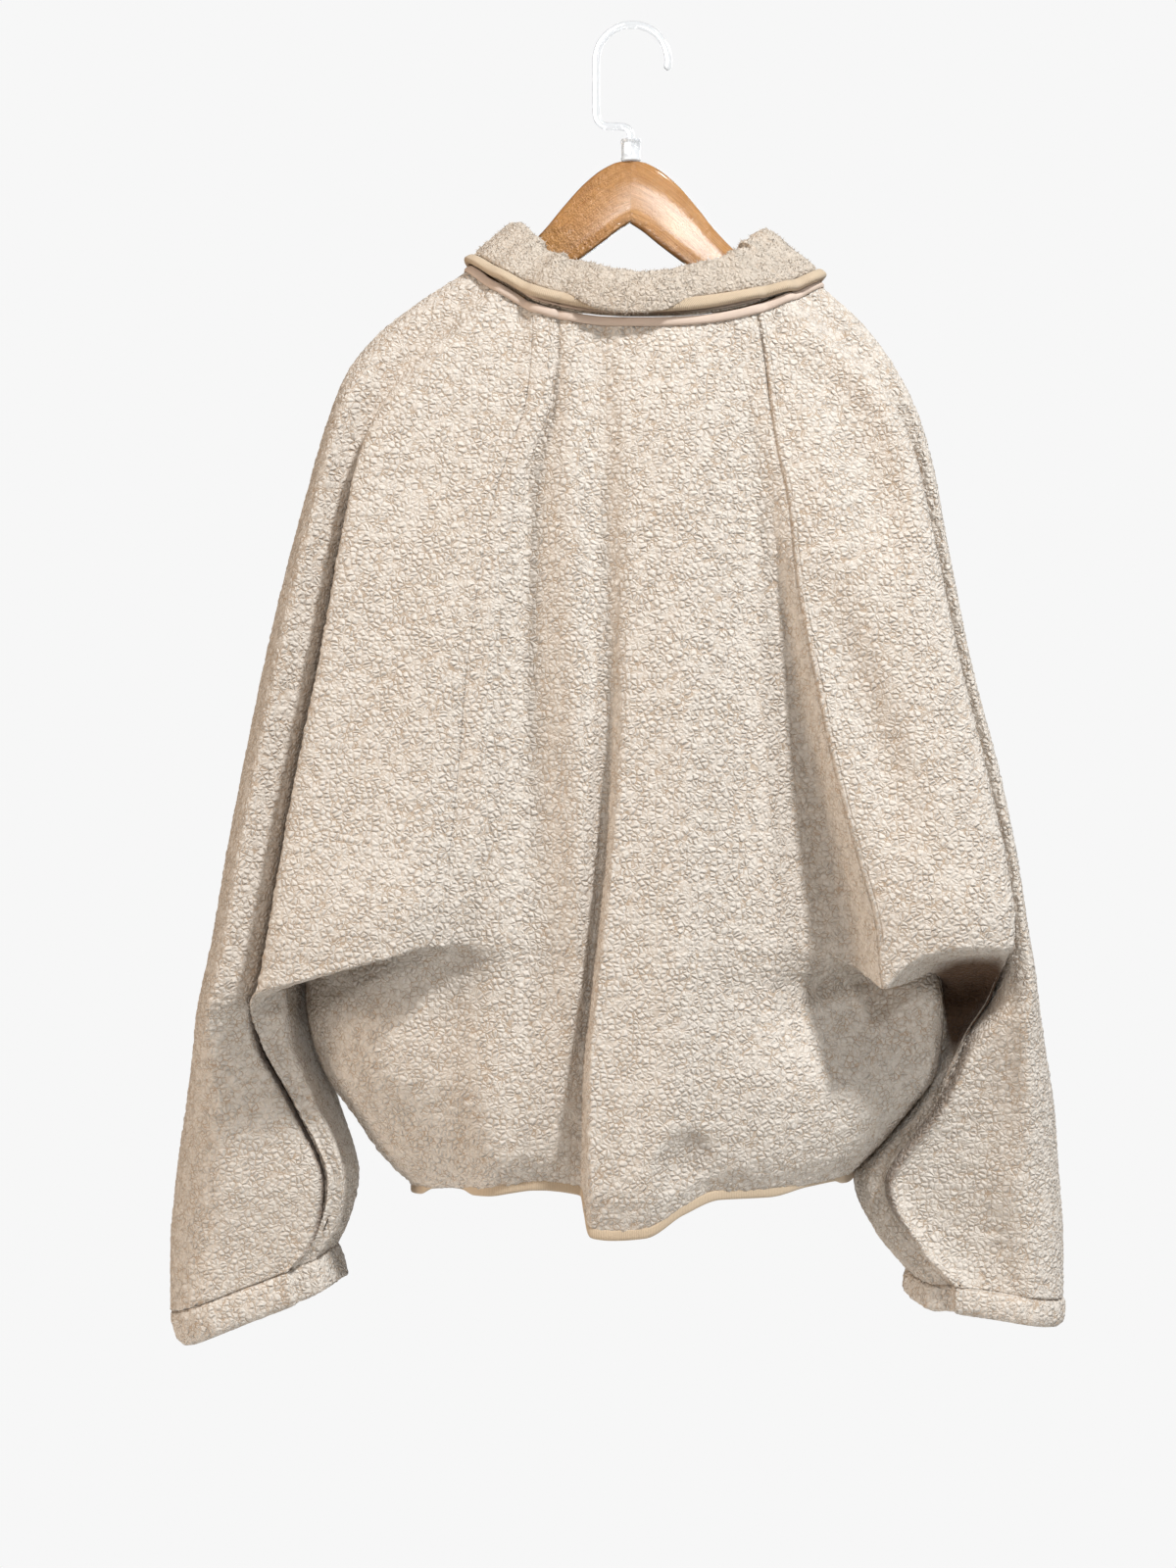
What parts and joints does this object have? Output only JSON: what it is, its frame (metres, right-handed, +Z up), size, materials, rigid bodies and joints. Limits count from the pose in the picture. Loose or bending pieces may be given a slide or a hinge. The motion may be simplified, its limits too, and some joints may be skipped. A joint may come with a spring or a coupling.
{
  "type": "fleece jacket on a hanger",
  "caption": "Boxy pile-fleece jacket with raglan batwing sleeves, bound hem, fold-over collar and full zip, hung on a flat wooden hanger with a clear hook.",
  "frame": {"origin": "inside top of the hanger's hook, where a rail carries it", "axes": "+Z up, the jacket's back faces -Y, +X to the right of someone who looks at the back"},
  "size_m": [0.595, 0.1759, 0.8779],
  "materials": {
    "fleece": "cream curled pile fleece",
    "binding": "tan elastic binding, fine ribs",
    "woven": "pale pinkish woven tape",
    "zip_cloth": "woven zip tape",
    "zip_plastic": "moulded, satin",
    "varnished_wood": "honey varnish, glossy",
    "ferrule_plastic": "cloudy plastic collar",
    "clear_plastic": "clear bent rod"
  },
  "bodies": {
    "jacket": {"back": "fleece", "front_left": "fleece", "front_right": "fleece", "sleeve_left": "fleece", "sleeve_right": "fleece", "cuff_left": "fleece", "cuff_right": "fleece", "collar": "fleece", "collar_binding": "binding", "hem_binding": "binding", "collar_shell": "woven", "neck_tape": "woven", "zip_tape_left": "zip_cloth", "zip_tape_right": "zip_cloth", "zip_teeth_left": "zip_plastic", "zip_teeth_right": "zip_plastic", "zip_slider": "zip_plastic", "zip_box": "zip_plastic", "hanger_arm_left": "varnished_wood", "hanger_arm_right": "varnished_wood", "ferrule": "ferrule_plastic", "hook": "clear_plastic"},
    "tab": {"pull_tab": "zip_plastic"}
  },
  "joints": [
    {"name": "tab_swing", "type": "hinge", "parent": "jacket", "child": "tab", "pos_m": [0.008, 0.05348, -0.269], "axis": [1, 0, 0], "range_deg": [0, 150]}
  ]
}
